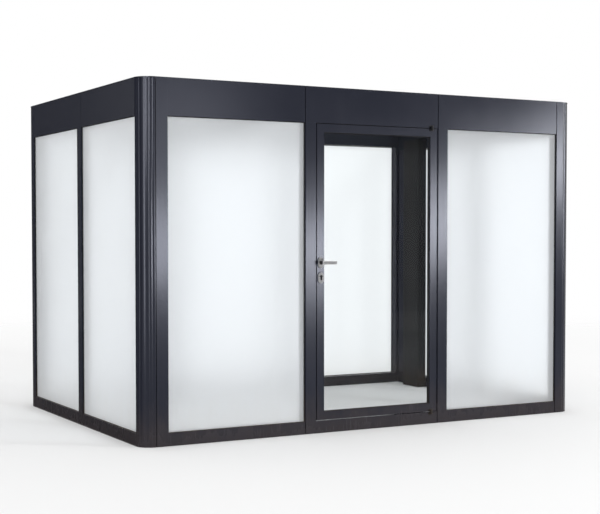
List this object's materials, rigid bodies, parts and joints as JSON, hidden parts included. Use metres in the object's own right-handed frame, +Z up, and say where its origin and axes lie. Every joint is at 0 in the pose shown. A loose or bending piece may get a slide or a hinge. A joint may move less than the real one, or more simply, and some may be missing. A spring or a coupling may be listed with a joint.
{
  "type": "glass greenhouse",
  "caption": "Free-standing flat-roofed greenhouse with a dark metal frame, frosted wall panes and a clear glazed hinged door with a lever handle.",
  "frame": {"origin": "on the ground at the middle of the whole outline seen from above, outer door lever included", "axes": "+X along the front wall to the right as seen from outside, +Y from the front wall to the back, +Z up"},
  "size_m": [3.437, 2.3654, 2.3],
  "materials": {
    "frame_coat": "satin",
    "frosted_glass": "matte",
    "clear_glass": "gloss",
    "roof_glass": "gloss",
    "black_fittings": "matte",
    "lever_metal": "satin",
    "lock_metal": "satin"
  },
  "bodies": {
    "root": {"corner_post_front_left": "frame_coat", "corner_post_front_right": "frame_coat", "corner_post_back_left": "frame_coat", "corner_post_back_right": "frame_coat", "front_left_stile": "frame_coat", "door_lock_post": "frame_coat", "door_hinge_post": "frame_coat", "left_wall_mullion": "frame_coat", "right_wall_mullion": "frame_coat", "back_wall_mullions": "frame_coat", "front_wall_sills": "frame_coat", "door_threshold": "frame_coat", "left_wall_sills": "frame_coat", "right_wall_sills": "frame_coat", "back_wall_sills": "frame_coat", "front_left_fascia": "frame_coat", "front_door_fascia": "frame_coat", "front_right_fascia": "frame_coat", "left_wall_fascia": "frame_coat", "right_wall_fascia": "frame_coat", "back_wall_fascia": "frame_coat", "roof_left_bearer": "frame_coat", "roof_right_bearer": "frame_coat", "roof_left_rafter": "frame_coat", "roof_right_rafter": "frame_coat", "roof_cap_bars": "frame_coat", "rain_pipe_casing": "frame_coat", "front_left_pane": "frosted_glass", "front_right_pane": "frosted_glass", "left_wall_panes": "frosted_glass", "right_wall_panes": "frosted_glass", "back_wall_panes": "frosted_glass", "roof_panes": "roof_glass", "frame_pivots": "black_fittings"},
    "door_leaf": {"door_lock_stile": "frame_coat", "door_hinge_stile": "frame_coat", "door_bottom_rail": "frame_coat", "door_top_rail": "frame_coat", "door_glass": "clear_glass", "leaf_pivots": "black_fittings", "lock_plates": "lever_metal", "lock_cylinder": "lock_metal"},
    "door_lever": {"outer_lever": "lever_metal", "inner_lever": "lever_metal"}
  },
  "joints": [
    {"name": "door_hinge", "type": "hinge", "parent": "root", "child": "door_leaf", "pos_m": [0.4465, -1.13925, 1], "axis": [0, 0, 1], "range_deg": [0, 100]},
    {"name": "lever_turn", "type": "hinge", "parent": "door_leaf", "child": "door_lever", "pos_m": [-0.441, -1.17725, 1.137], "axis": [0, 1, 0], "range_deg": [0, 40], "stiffness_Nm_per_rad": 0.8}
  ]
}
